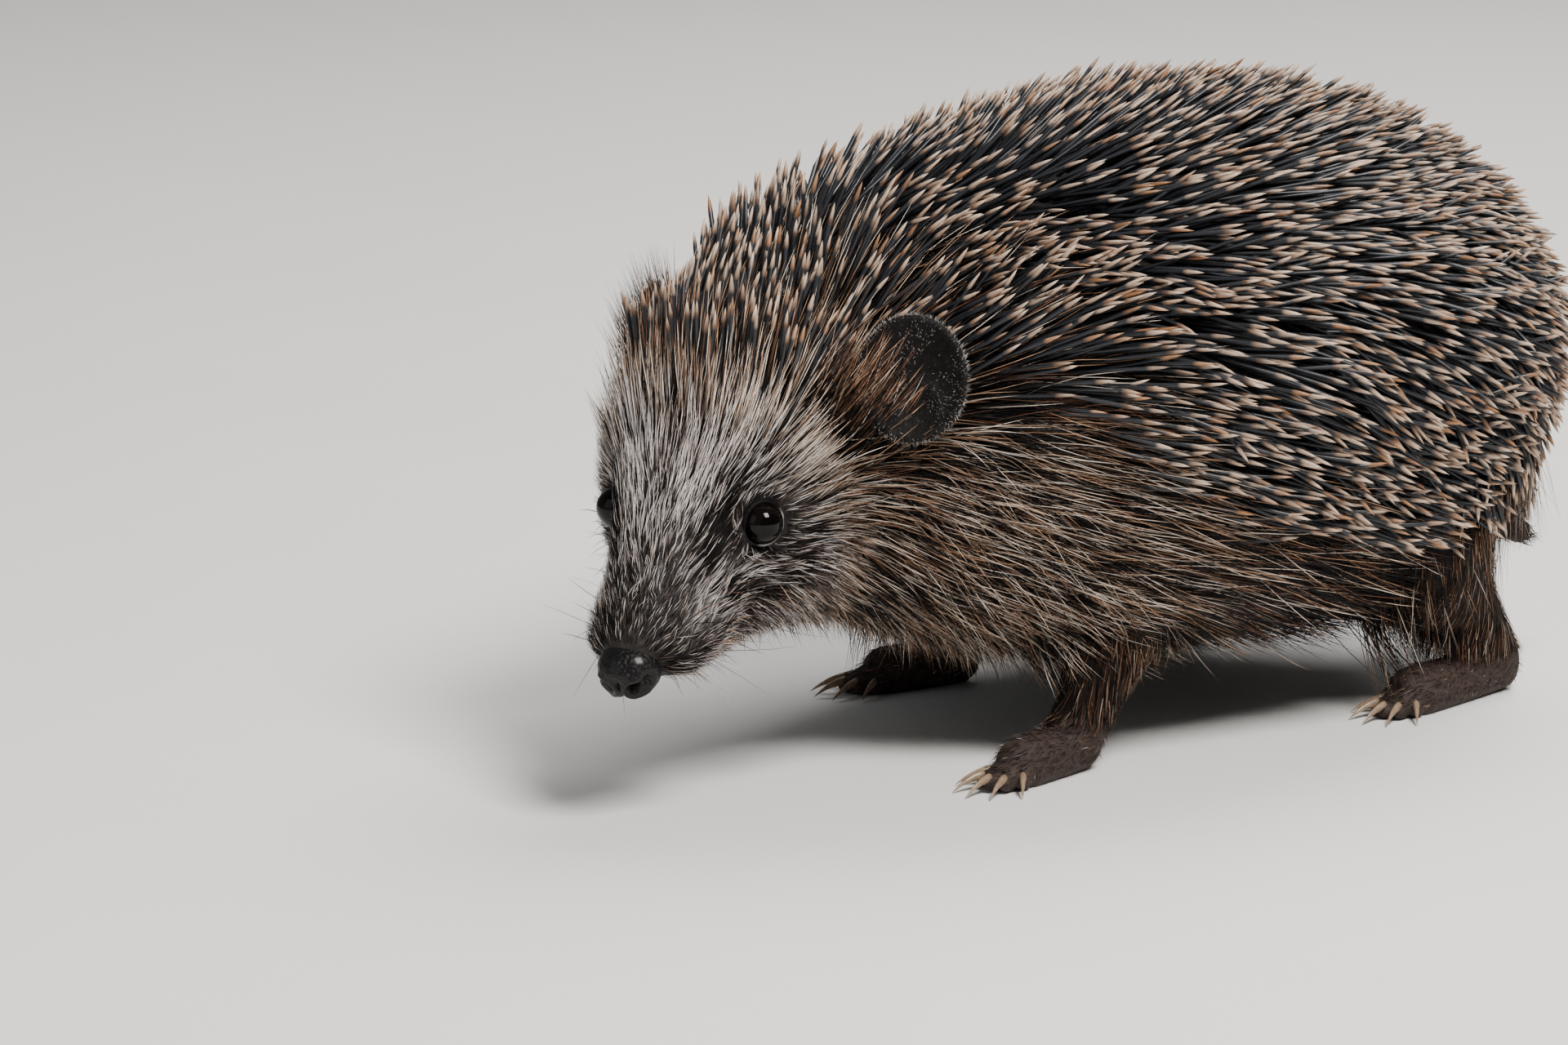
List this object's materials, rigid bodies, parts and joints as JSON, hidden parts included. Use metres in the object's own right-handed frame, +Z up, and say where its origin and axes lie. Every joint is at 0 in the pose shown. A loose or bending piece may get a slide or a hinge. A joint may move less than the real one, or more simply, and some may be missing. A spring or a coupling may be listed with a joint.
{
  "type": "hedgehog",
  "caption": "Still, life-size European hedgehog for display, foraging with its head lowered and turned to its left and standing on its flat-soled feet.",
  "frame": {"origin": "middle of the footprint of the whole animal, on the floor under its soles", "axes": "+Y towards the tail, so the trunk faces -Y; +X towards the animal's left; +Z up"},
  "size_m": [0.1204, 0.2316, 0.1177],
  "materials": {
    "coat": "coarse hair and banded spines",
    "skin": "bare, finely creased",
    "nose": "wet and pebbled",
    "eye": "wet gloss",
    "claw": "translucent horn"
  },
  "bodies": {
    "root": {"head": "coat", "lower_jaw": "coat", "neck": "coat", "trunk": "coat", "tail": "coat", "ear_left": "skin", "ear_right": "skin", "nose": "nose", "eye_left": "eye", "eye_right": "eye", "leg_front_left": "coat", "paw_front_left": "skin", "leg_front_right": "coat", "paw_front_right": "skin", "leg_hind_left": "coat", "foot_hind_left": "skin", "leg_hind_right": "coat", "foot_hind_right": "skin", "claw_front_left_1": "claw", "claw_front_left_2": "claw", "claw_front_left_3": "claw", "claw_front_left_4": "claw", "claw_front_left_5": "claw", "claw_front_right_1": "claw", "claw_front_right_2": "claw", "claw_front_right_3": "claw", "claw_front_right_4": "claw", "claw_front_right_5": "claw", "claw_hind_left_1": "claw", "claw_hind_left_2": "claw", "claw_hind_left_3": "claw", "claw_hind_left_4": "claw", "claw_hind_left_5": "claw", "claw_hind_right_1": "claw", "claw_hind_right_2": "claw", "claw_hind_right_3": "claw", "claw_hind_right_4": "claw", "claw_hind_right_5": "claw"}
  },
  "joints": []
}
